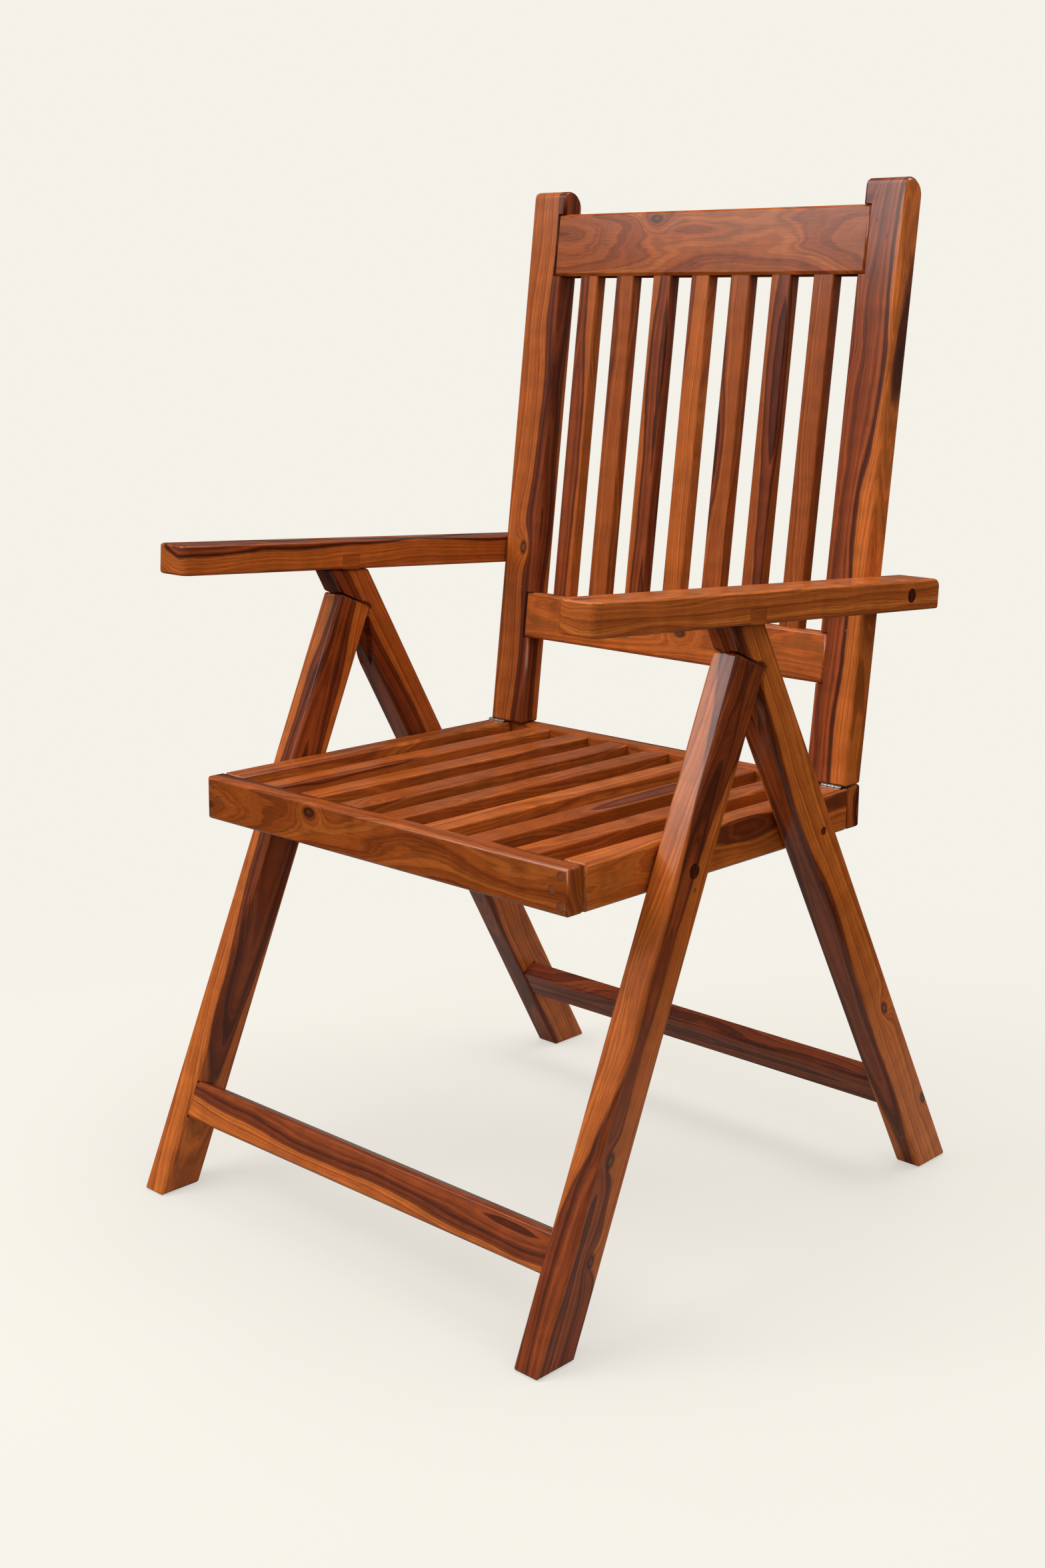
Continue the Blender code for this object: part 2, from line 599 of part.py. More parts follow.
def hinge(side, sign, upright, rails):
    """A butt hinge let in between the stile's foot and the seat: only its barrel shows."""
    x = sign * (SEAT_WIDTH - SIDE_RAIL_THICK) / 2
    third = (HINGE_WIDTH - 4 * GAP) / 3
    axis = Vector((x, BACK_PIVOT.y, BACK_PIVOT.z))
    rise = (GAP + HINGE_SHEET) / 2
    size = (HINGE_WIDTH, HINGE_LEAF, HINGE_SHEET)
    level = Matrix.Identity(4)
    pin_radius = HINGE_RADIUS / 2
    halves = (("lower", seat_root, -rise, (-1, 1)), ("upper", back_root, rise, (0,)))
    for half, parent, height, barrels in halves:
        leaf = mesh_object(f"hinge_{half}_leaf_{side}",
                           box_mesh(size, (0, HINGE_LEAF / 2, height)), chair)
        settle(leaf, axis, level, parent, STEEL)
        for slot in (-1, 0, 1):
            place = Matrix.Translation(axis + Vector((slot * (third + 2 * GAP), 0, 0)))
            if slot in barrels:
                barrel = mesh_object(f"hinge_{half}_barrel_{side}_{slot + 1}",
                                     rod_mesh(HINGE_RADIUS - BARREL_EASE, third, 16), cutters)
                join(leaf, as_cutter(barrel, place))
            else:
                room = mesh_object(f"hinge_{half}_room_{side}_{slot + 1}",
                                   rod_mesh(HINGE_RADIUS + BARREL_EASE, third + 3 * GAP, 16),
                                   cutters)
                cut(leaf, as_cutter(room, place))
        bore = mesh_object(f"hinge_{half}_bore_{side}",
                           rod_mesh(pin_radius + BARREL_EASE, HINGE_WIDTH + 2 * DRILL_PAST, 16),
                           cutters)
        cut(leaf, as_cutter(bore, Matrix.Translation(axis)))
    rod(f"hinge_pin_{side}", pin_radius, HINGE_WIDTH, axis, seat_root, STEEL)
    recess = box_cutter(f"hinge_recess_{side}", grown((HINGE_WIDTH, HINGE_LEAF, HINGE_SHEET * 2)),
                        Matrix.Translation(axis), (0, HINGE_LEAF / 2, 0))
    groove = mesh_object(f"hinge_groove_{side}",
                         rod_mesh(HINGE_RADIUS + GAP, HINGE_WIDTH + 2 * GAP, 16), cutters)
    as_cutter(groove, Matrix.Translation(axis))
    for piece in (rails[f"seat_side_rail_{side}"], rails["seat_rear_rail"], upright):
        cut(piece, recess)
        cut(piece, groove)


def arm(side, sign, upright):
    """A flat arm that turns on a plugged screw and rests on the rear leg."""
    x = sign * ARM_X
    front = ARM_TAIL - ARM_LENGTH
    bm = box_mesh((ARM_WIDTH, ARM_LENGTH, ARM_HEIGHT), (0, (ARM_TAIL + front) / 2, 0))
    near_front = front + GAP
    near_tail = ARM_TAIL - GAP
    round_edges(bm, lambda a, b: max(a.y, b.y) < near_front and a.z * b.z < 0, ARM_NOSE)
    round_edges(bm, lambda a, b: min(a.y, b.y) > near_tail and min(a.z, b.z) > 0, ARM_NOSE)
    piece = mesh_object(f"arm_{side}", bm, chair)
    settle(piece, (x, ARM_PIVOT.y, ARM_PIVOT.z), ARM_TURN, arm_root, WOOD_ORANGE)
    ease(piece, ARRIS, 2)
    rest = ARM_TURN.inverted() @ (ARM_REST - ARM_PIVOT)
    half_top = LEG_WIDTH / math.cos(REAR_LEG_RAKE) / 2
    centre = Vector((0, rest.y - half_top + BLOCK_LENGTH / 2, -(ARM_HEIGHT - BLOCK_HEIGHT) / 2))
    place = Vector((x, ARM_PIVOT.y, ARM_PIVOT.z)) + ARM_TURN @ centre
    block_size = (ARM_WIDTH, BLOCK_LENGTH, BLOCK_HEIGHT)
    block = mesh_object(f"arm_block_{side}", box_mesh(block_size), chair)
    settle(block, place, ARM_TURN, arm_root, WOOD_DARK)
    notch = (ARM_WIDTH + 2 * OVERCUT, BLOCK_LENGTH + 2 * GAP, BLOCK_HEIGHT + OVERCUT + GAP)
    cut(piece, box_cutter(f"arm_notch_{side}", notch, Matrix.Translation(place) @ ARM_TURN,
                          (0, 0, (GAP - OVERCUT) / 2)))
    arm_pivot_screw(side, sign, piece, upright)


def arm_pivot_screw(side, sign, piece, upright):
    outer = SEAT_WIDTH / 2 + GAP + ARM_WIDTH
    head_x = outer - ARM_WIDTH / 3
    tip = SEAT_WIDTH / 2 - 0.6 * STILE_WIDTH
    turn = Matrix.Rotation(sign * math.pi / 2, 4, 'Y')
    reach = head_x - tip
    head = ((0, 0), (BOLT_HEAD_RADIUS, 0), (BOLT_HEAD_RADIUS, -BOLT_HEAD_HEIGHT),
            (BOLT_RADIUS, -BOLT_HEAD_HEIGHT), (BOLT_RADIUS, -reach), (0, -reach))
    level = Vector((0, ARM_PIVOT.y, ARM_PIVOT.z))
    turned(f"arm_pivot_screw_{side}", head, level + Vector((sign * head_x, 0, 0)), turn,
           back_root, STEEL)
    plug_length = outer - head_x - 2 * GAP
    rod(f"arm_pivot_plug_{side}", PLUG_RADIUS, plug_length,
        level + Vector((sign * (outer - plug_length / 2), 0, 0)), arm_root, WOOD_DARK)
    pocket_length = 2 * (outer - head_x + BOLT_HEAD_HEIGHT + GAP)
    cut(piece, rod_cutter(f"arm_pivot_pocket_{side}", PLUG_RADIUS + GAP, pocket_length,
                          level + Vector((sign * outer, 0, 0))))
    bore = rod_cutter(f"arm_pivot_bore_{side}", BOLT_RADIUS + GAP, 2 * (outer - tip + GAP),
                      level + Vector((sign * outer, 0, 0)))
    cut(piece, bore)
    cut(upright, bore)


def build():
    rails = seat_frame()
    seat_slats(rails)
    corner_screws(rails)
    stiles = [stile(side, sign) for side, sign in SIDES]
    back_slats(back_rails(stiles))
    for (side, sign), upright in zip(SIDES, stiles):
        x = sign * LEG_X
        front = front_leg(f"front_leg_{side}", x)
        rear = rear_leg(f"rear_leg_{side}", x)
        knuckle(side, x, front, rear)
        cut(front, front_housing)
        cut(rear, rear_housing)
        rail = rails[f"seat_side_rail_{side}"]
        seat_pivot(side, sign, front, rail)
        seat_peg(side, sign, rear, rail)
        hinge(side, sign, upright, rails)
        arm(side, sign, upright)


build()
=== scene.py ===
import json
import math

import bmesh
import bpy
from mathutils import Matrix, Vector


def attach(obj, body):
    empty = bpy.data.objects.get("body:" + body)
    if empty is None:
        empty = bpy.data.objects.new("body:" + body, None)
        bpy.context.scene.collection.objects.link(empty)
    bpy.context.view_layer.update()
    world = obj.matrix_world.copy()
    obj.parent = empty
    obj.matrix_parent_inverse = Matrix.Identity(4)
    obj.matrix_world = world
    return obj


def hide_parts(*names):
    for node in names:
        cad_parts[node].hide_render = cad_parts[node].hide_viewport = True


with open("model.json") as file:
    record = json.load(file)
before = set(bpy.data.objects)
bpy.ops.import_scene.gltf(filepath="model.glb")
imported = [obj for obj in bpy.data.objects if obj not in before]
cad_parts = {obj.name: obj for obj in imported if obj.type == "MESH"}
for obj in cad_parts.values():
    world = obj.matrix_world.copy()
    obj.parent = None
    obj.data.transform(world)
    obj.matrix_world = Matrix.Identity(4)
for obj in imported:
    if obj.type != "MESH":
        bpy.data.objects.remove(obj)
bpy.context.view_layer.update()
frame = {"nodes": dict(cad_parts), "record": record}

CAD = frame["nodes"]


# ---------------------------------------------------------------------------
# Front legs: two raked hardwood boards, planed, their arrises rubbed round and
# the whole lacquered. Each is forked at the top to take the rear leg's tongue.
# ---------------------------------------------------------------------------
FRONT_RAKE = math.atan(0.425)
ARRIS_WIDTH = 0.0011
FAR_AWAY = (9.0, 9.0, 9.0)
SWELL_CUTS = 12

HEART_DARK = (0.060, 0.0125, 0.0040, 1)
HEART_RED = (0.215, 0.0370, 0.0075, 1)
HEART_WARM = (0.340, 0.0700, 0.0120, 1)
SAP_BROWN = (0.370, 0.0780, 0.0115, 1)
SAP_ORANGE = (0.510, 0.1190, 0.0160, 1)
SAP_PALE = (0.590, 0.1600, 0.0260, 1)
KNOT_BARK = (0.030, 0.0090, 0.0050, 1)
KNOT_CORE = (0.240, 0.0720, 0.0240, 1)

RING_WANDER = 0.055
RING_RIPPLE = 0.0055
RINGS_PER_METRE = 190.0
STREAKS_PER_METRE = 520.0
VEINS_PER_METRE = 120.0
RIM_WIDTH = 0.0026
KNOT_SHAPE = (1, 0.62, 0.12)
KNOT_SWIRL = 0.011
BARK_REACH = (0.0034, 0.0070)
CORE_REACH = (0.0018, 0.0036)
PORE_DARKNESS = 0.45
TONE_REDDENING = 1.22


def add_node(tree, kind, sockets=(), **settings):
    """A node with its settings, and its sockets set or linked."""
    made = tree.nodes.new(kind)
    for name, value in settings.items():
        setattr(made, name, value)
    for key, value in dict(sockets).items():
        if isinstance(value, bpy.types.NodeSocket):
            tree.links.new(value, made.inputs[key])
        else:
            made.inputs[key].default_value = value
    return made


def maths(tree, operation, first, second=0.0):
    return add_node(tree, 'ShaderNodeMath', {0: first, 1: second}, operation=operation).outputs[0]


def scaled(tree, vector, scale):
    """The vector with each of its parts scaled by itself."""
    made = add_node(tree, 'ShaderNodeVectorMath', {0: vector, 1: scale}, operation='MULTIPLY')
    return made.outputs[0]


def noise(tree, vector, detail=2.0, roughness=0.5):
    made = add_node(tree, 'ShaderNodeTexNoise',
                    {"Vector": vector, "Scale": 1.0, "Detail": detail, "Roughness": roughness})
    return made.outputs[0]


def noise_along(tree, distance, detail=2.0, roughness=0.5):
    made = add_node(tree, 'ShaderNodeTexNoise',
                    {"W": distance, "Scale": 1.0, "Detail": detail, "Roughness": roughness},
                    noise_dimensions='1D')
    return made.outputs[0]


def stretch(tree, value, low, high, out_low=0.0, out_high=1.0):
    """A smooth step from one range to another."""
    made = add_node(tree, 'ShaderNodeMapRange',
                    {"Value": value, "From Min": low, "From Max": high,
                     "To Min": out_low, "To Max": out_high}, interpolation_type='SMOOTHSTEP')
    return made.outputs[0]


def colours(tree, position, stops):
    """A colour ramp through the given (place, colour) stops."""
    made = add_node(tree, 'ShaderNodeValToRGB', {0: position})
    ramp = made.color_ramp
    while len(ramp.elements) < len(stops):
        ramp.elements.new(0.5)
    for element, (place, colour) in zip(ramp.elements, stops):
        element.position = place
        element.color = colour
    return made.outputs[0]


def blend_colour(tree, mask, first, second):
    made = add_node(tree, 'ShaderNodeMix', {0: mask, 6: first, 7: second}, data_type='RGBA')
    return made.outputs[2]


def brighten(tree, colour, amount):
    made = add_node(tree, 'ShaderNodeVectorMath', {0: colour, "Scale": amount}, operation='SCALE')
    return made.outputs[0]


def ring_radius(tree, log, knots):
    """Distance from the pith, with wandering rings that swirl round the knots."""
    wander = maths(tree, 'MULTIPLY', maths(tree, 'SUBTRACT', noise(
        tree, scaled(tree, log, (10, 2.6, 10)), 2.0), 0.5), RING_WANDER)
    ripple = maths(tree, 'MULTIPLY', maths(tree, 'SUBTRACT', noise(
        tree, scaled(tree, log, (70, 14, 70)), 3.0), 0.5), RING_RIPPLE)
    across = add_node(tree, 'ShaderNodeVectorMath', {0: scaled(tree, log, (1, 0, 1))},
                      operation='LENGTH').outputs["Value"]
    radius = maths(tree, 'ADD', maths(tree, 'ADD', wander, ripple), across)
    from_knot = None
    for knot in knots:
        reach = add_node(tree, 'ShaderNodeVectorMath', {0: scaled(tree, knot, KNOT_SHAPE)},
                         operation='LENGTH').outputs["Value"]
        reach = maths(tree, 'ADD', reach, maths(tree, 'MULTIPLY', ripple, 0.5))
        near = maths(tree, 'POWER', maths(tree, 'DIVIDE', reach, KNOT_SWIRL), 2.0)
        swirl = maths(tree, 'MULTIPLY', maths(tree, 'EXPONENT', maths(
            tree, 'MULTIPLY', near, -1.0)), KNOT_SWIRL)
        radius = maths(tree, 'ADD', radius, swirl)
        from_knot = reach if from_knot is None else maths(tree, 'MINIMUM', from_knot, reach)
    return radius, from_knot


def ring_colour(tree, radius, from_knot, bark, heart_radius):
    """Dark striped heart, orange sapwood, a dark rim between them, and the knots."""
    bands = noise_along(tree, maths(tree, 'MULTIPLY', radius, RINGS_PER_METRE), 4.0, 0.62)
    veins = stretch(tree, noise_along(tree, maths(tree, 'ADD', maths(
        tree, 'MULTIPLY', radius, VEINS_PER_METRE), 37.0), 1.0), 0.60, 0.70)
    heart = colours(tree, bands, ((0.30, HEART_DARK), (0.47, HEART_RED), (0.70, HEART_WARM)))
    heart = blend_colour(tree, maths(tree, 'MULTIPLY', veins, 0.75), heart, HEART_DARK)
    sap = colours(tree, bands, ((0.30, SAP_BROWN), (0.50, SAP_ORANGE), (0.72, SAP_PALE)))
    sap = blend_colour(tree, maths(tree, 'MULTIPLY', veins, 0.35), sap, HEART_WARM)
    past_heart = maths(tree, 'SUBTRACT', radius, heart_radius)
    is_sap = stretch(tree, past_heart, -0.0006, 0.0012)
    rim = stretch(tree, maths(tree, 'ABSOLUTE', past_heart), 0.0, RIM_WIDTH, 0.45, 0.0)
    colour = blend_colour(tree, is_sap, heart, sap)
    colour = blend_colour(tree, rim, colour, HEART_DARK)
    core = stretch(tree, from_knot, *CORE_REACH, 0.8, 0.0)
    colour = blend_colour(tree, bark, colour, KNOT_BARK)
    return blend_colour(tree, core, colour, KNOT_CORE)


def figured_grain():
    """Colour and relief of a sawn board, from its place in the log and its knots."""
    tree = bpy.data.node_groups.new("figured_grain", 'ShaderNodeTree')
    for name, kind in (("Log", 'NodeSocketVector'), ("Knot", 'NodeSocketVector'),
                       ("Side Knot", 'NodeSocketVector'), ("Heart Radius", 'NodeSocketFloat'),
                       ("Tone", 'NodeSocketFloat')):
        tree.interface.new_socket(name=name, in_out='INPUT', socket_type=kind)
    for name, kind in (("Colour", 'NodeSocketColor'), ("Roughness", 'NodeSocketFloat'),
                       ("Relief", 'NodeSocketFloat')):
        tree.interface.new_socket(name=name, in_out='OUTPUT', socket_type=kind)
    given = tree.nodes.new('NodeGroupInput').outputs
    log = given["Log"]
    radius, from_knot = ring_radius(tree, log, (given["Knot"], given["Side Knot"]))
    bark = stretch(tree, from_knot, *BARK_REACH, 0.85, 0.0)
    colour = ring_colour(tree, radius, from_knot, bark, given["Heart Radius"])

    streaks = noise_along(tree, maths(tree, 'MULTIPLY', radius, STREAKS_PER_METRE), 2.0, 0.5)
    fibres = noise(tree, scaled(tree, log, (1300, 16, 1300)), 2.0)
    pores = stretch(tree, noise(tree, scaled(tree, log, (2300, 55, 2300)), 1.0), 0.62, 0.74)
    mottle = noise(tree, scaled(tree, log, (26, 42, 26)), 2.0)
    light = maths(tree, 'MULTIPLY', stretch(tree, mottle, 0.25, 0.75, 0.89, 1.11),
                  stretch(tree, fibres, 0.25, 0.75, 0.86, 1.14))
    light = maths(tree, 'MULTIPLY', light, stretch(tree, streaks, 0.25, 0.75, 0.74, 1.22))
    light = maths(tree, 'MULTIPLY', light, maths(tree, 'SUBTRACT', 1.0, maths(
        tree, 'MULTIPLY', pores, PORE_DARKNESS)))
    deep = maths(tree, 'POWER', given["Tone"], TONE_REDDENING)
    tint = add_node(tree, 'ShaderNodeCombineXYZ', {0: given["Tone"], 1: deep, 2: deep}).outputs[0]
    colour = scaled(tree, brighten(tree, colour, light), tint)

    rough = maths(tree, 'ADD', stretch(tree, fibres, 0.2, 0.8, 0.34, 0.50),
                  maths(tree, 'MULTIPLY', pores, 0.2))
    relief = maths(tree, 'SUBTRACT', maths(tree, 'MULTIPLY', fibres, 0.35),
                   maths(tree, 'ADD', pores, maths(tree, 'MULTIPLY', bark, 0.8)))
    add_node(tree, 'NodeGroupOutput', {"Colour": colour, "Roughness": rough,
                                       "Relief": relief})
    return tree


GRAIN = figured_grain()


def lacquered_wood():
    """Figured hardwood under a clear gloss lacquer."""
    material = bpy.data.materials.new("lacquered_wood")
    material.use_nodes = True
    tree = material.node_tree
    read = {key: add_node(tree, 'ShaderNodeAttribute', attribute_name=key).outputs[slot]
            for key, slot in (("log", "Vector"), ("knot", "Vector"), ("side_knot", "Vector"),
                              ("heart", "Fac"), ("tone", "Fac"))}
    grain = add_node(tree, 'ShaderNodeGroup', node_tree=GRAIN)
    for key, socket in (("log", "Log"), ("knot", "Knot"), ("side_knot", "Side Knot"),
                        ("heart", "Heart Radius"), ("tone", "Tone")):
        tree.links.new(read[key], grain.inputs[socket])
    relief = add_node(tree, 'ShaderNodeBump', {"Height": grain.outputs["Relief"],
                                               "Strength": 0.35, "Distance": 0.00025})
    shader = tree.nodes["Principled BSDF"]
    tree.links.new(grain.outputs["Colour"], shader.inputs["Base Color"])
    tree.links.new(grain.outputs["Roughness"], shader.inputs["Roughness"])
    tree.links.new(relief.outputs[0], shader.inputs["Normal"])
    shader.inputs["Specular IOR Level"].default_value = 0.12
    shader.inputs["Coat Weight"].default_value = 0.7
    shader.inputs["Coat Roughness"].default_value = 0.16
    shader.inputs["Coat IOR"].default_value = 1.5
    return material


WOOD = lacquered_wood()


def board_axes(along, across):
    """Rows that turn a world vector into across, along and through the board."""
    through = Vector(across).cross(Vector(along))
    return Matrix((across, along, through)).to_3x3()


def round_arrises(piece, width):
    """Bevel the long planed arrises, which the CAD already breaks at a slant."""
    mesh = piece.data
    bm = bmesh.new()
    bm.from_mesh(mesh)
    weight = bm.edges.layers.float.new("bevel_weight_edge")
    for edge in bm.edges:
        if len(edge.link_faces) == 2 and edge.calc_length() > 6 * width:
            angle = math.degrees(edge.calc_face_angle(0))
            if 30 < angle < 60:
                edge[weight] = 1
    bm.to_mesh(mesh)
    bm.free()
    rounding = piece.modifiers.new("arris", 'BEVEL')
    rounding.limit_method = 'WEIGHT'
    rounding.width = width
    rounding.segments = 2
    rounding.use_clamp_overlap = False


def keep_flats(piece):
    """Shade the rounded arrises smooth and leave the faces between them flat."""
    piece.data.shade_smooth()
    piece.data.set_sharp_from_angle(angle=math.radians(40))
    normals = piece.modifiers.new("flats", 'WEIGHTED_NORMAL')
    normals.keep_sharp = True
    normals.weight = 80


def settle_mesh(piece):
    """Turn what the modifiers make into the piece's own plain mesh."""
    graph = bpy.context.evaluated_depsgraph_get()
    mesh = bpy.data.meshes.new_from_object(piece.evaluated_get(graph))
    piece.modifiers.clear()
    piece.data = mesh
    return mesh


def mark(mesh, name, values, kind='FLOAT_VECTOR'):
    """Store one value, or one vector, at each point of the mesh."""
    attribute = mesh.attributes.new(name, kind, 'POINT')
    key = "vector" if kind == 'FLOAT_VECTOR' else "value"
    flat = [part for value in values for part in value] if key == "vector" else values
    attribute.data.foreach_set(key, flat)


def grain_marks(mesh, axes, pith, lean, heart, swell, tone, knots, start):
    """Store where each point of the board lay in the log it was sawn from."""
    local = [axes @ vertex.co for vertex in mesh.vertices]
    low = Vector(tuple(min(point[i] for point in local) for i in range(3)))
    high = Vector(tuple(max(point[i] for point in local) for i in range(3)))
    middle = (low + high) / 2
    local = [point - middle for point in local]
    mark(mesh, "log", [(p.x - pith[0] - lean[0] * p.y, p.y + start,
                        p.z - pith[1] - lean[1] * p.y) for p in local])
    places = [Vector((*knot, 0)) for knot in knots] + [Vector(FAR_AWAY)] * 2
    mark(mesh, "knot", [p - places[0] for p in local])
    mark(mesh, "side_knot", [p - places[1] for p in local])
    reach = (high - low).y / 2
    mark(mesh, "heart", [heart + swell * (p.y / reach) ** 2 for p in local], 'FLOAT')
    mark(mesh, "tone", [tone] * len(local), 'FLOAT')


def show(piece, body, slot, *nodes):
    """Let the piece ride on its body and stand for its CAD nodes."""
    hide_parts(*nodes)
    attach(piece, body)
    return piece


def cut_lengths(bm, along):
    """Cross cuts, so that what is stored at the points can vary along the board."""
    heights = [vertex.co.dot(along) for vertex in bm.verts]
    low, high = min(heights), max(heights)
    for cut in range(1, SWELL_CUTS):
        height = low + (high - low) * cut / SWELL_CUTS
        bmesh.ops.bisect_plane(bm, geom=bm.verts[:] + bm.edges[:] + bm.faces[:],
                               plane_co=along * height, plane_no=along)


def sawn_board(node, body, axes, pith, lean=(0, 0), heart=0.045, swell=0.0, tone=1.0, knots=(),
               start=0.0, arris=ARRIS_WIDTH, slot="wood"):
    """A finished board over its CAD node: rounded arrises, its own place in the log."""
    bm = bmesh.new()
    bm.from_mesh(CAD[node].data)
    bmesh.ops.remove_doubles(bm, verts=bm.verts, dist=0.00001)
    bmesh.ops.dissolve_limit(bm, angle_limit=math.radians(0.6), verts=bm.verts, edges=bm.edges)
    if swell:
        cut_lengths(bm, axes.row[1].copy())
    mesh = bpy.data.meshes.new(f"{node}_finished")
    bm.to_mesh(mesh)
    bm.free()
    piece = bpy.data.objects.new(f"{node}_finished", mesh)
    bpy.context.scene.collection.objects.link(piece)
    round_arrises(piece, arris)
    settle_mesh(piece)
    keep_flats(piece)
    mesh = settle_mesh(piece)
    mesh.materials.clear()
    mesh.materials.append(WOOD)
    grain_marks(mesh, axes, pith, lean, heart, swell, tone, knots, start)
    return show(piece, body, slot, node)


UP_FRONT_LEG = Vector((0, math.sin(FRONT_RAKE), math.cos(FRONT_RAKE)))
BACK_OF_FRONT_LEG = Vector((0, math.cos(FRONT_RAKE), -math.sin(FRONT_RAKE)))
FRONT_LEG_AXES = board_axes(UP_FRONT_LEG, BACK_OF_FRONT_LEG)
sawn_board("front_leg_left", "front_legs", FRONT_LEG_AXES, pith=(-0.008, 0.021),
           lean=(0.02, 0.02), heart=0.008, swell=0.038, tone=1.0, start=0.4,
           knots=((-0.006, -0.135), (0.006, -0.225)))
sawn_board("front_leg_right", "front_legs", FRONT_LEG_AXES, pith=(-0.006, 0.028),
           lean=(-0.02, -0.04), heart=0.019, tone=1.0, start=2.1)


# ---------------------------------------------------------------------------
# Rear legs: sawn off flat under the arm and at the floor, with the tongue that
# turns in the front leg's fork. Orange sapwood outside, dark heart in front.
# ---------------------------------------------------------------------------
REAR_RAKE = math.atan(0.584)
UP_REAR_LEG = Vector((0, -math.sin(REAR_RAKE), math.cos(REAR_RAKE)))
BACK_OF_REAR_LEG = Vector((0, math.cos(REAR_RAKE), math.sin(REAR_RAKE)))
REAR_LEG_AXES = board_axes(UP_REAR_LEG, BACK_OF_REAR_LEG)
sawn_board("rear_leg_left", "rear_legs", REAR_LEG_AXES, pith=(-0.027, 0.003),
           lean=(0.012, 0.0), heart=0.017, tone=1.08, start=4.0,
           knots=((0.017, -0.285), (0.006, -0.135)))
sawn_board("rear_leg_right", "rear_legs", REAR_LEG_AXES, pith=(-0.040, 0.004),
           lean=(0.02, 0.0), heart=0.034, tone=0.85, start=6.2, knots=((0.0, -0.10),))


# ---------------------------------------------------------------------------
# Stretchers: one bar between each pair of legs, its ends housed in them. The
# front one is heartwood with a sapwood edge below, the rear one is all heart.
# ---------------------------------------------------------------------------
ACROSS_CHAIR = Vector((1, 0, 0))
sawn_board("front_stretcher", "front_legs", board_axes(ACROSS_CHAIR, UP_FRONT_LEG),
           pith=(0.014, -0.013), lean=(-0.02, 0.0), heart=0.021, tone=0.95, start=8.4)
sawn_board("rear_stretcher", "rear_legs", board_axes(ACROSS_CHAIR, UP_REAR_LEG),
           pith=(0.0, -0.01), heart=0.08, tone=0.9, start=9.7)


# ---------------------------------------------------------------------------
# Seat frame: front and rear rails run the full width over the side rails' ends
# and are screwed to them. The arrises are rubbed nearly round by use.
# ---------------------------------------------------------------------------
UPWARD = Vector((0, 0, 1))
BACKWARD = Vector((0, 1, 0))
END_RAIL_AXES = board_axes(ACROSS_CHAIR, UPWARD)
SIDE_RAIL_AXES = board_axes(BACKWARD, UPWARD)
sawn_board("seat_front_rail", "seat", END_RAIL_AXES, pith=(0.012, 0.055), lean=(0.03, 0.03),
           heart=0.052, tone=0.66, start=11.0, knots=((0.012, -0.09),))
sawn_board("seat_rear_rail", "seat", END_RAIL_AXES, pith=(-0.012, 0.05), heart=0.05, tone=0.8,
           start=12.3)
sawn_board("seat_side_rail_left", "seat", SIDE_RAIL_AXES, pith=(0.010, -0.045), heart=0.024,
           lean=(0.03, 0.02), tone=1.02, start=13.5)
sawn_board("seat_side_rail_right", "seat", SIDE_RAIL_AXES, pith=(-0.02, 0.05), heart=0.048,
           tone=0.8, start=14.6)


# ---------------------------------------------------------------------------
# Slats: seven bars in the seat and seven in the back, sawn from many boards, so
# that heart and sapwood alternate. Their ends are housed in the rails.
# ---------------------------------------------------------------------------
SLAT_ARRIS = 0.0022


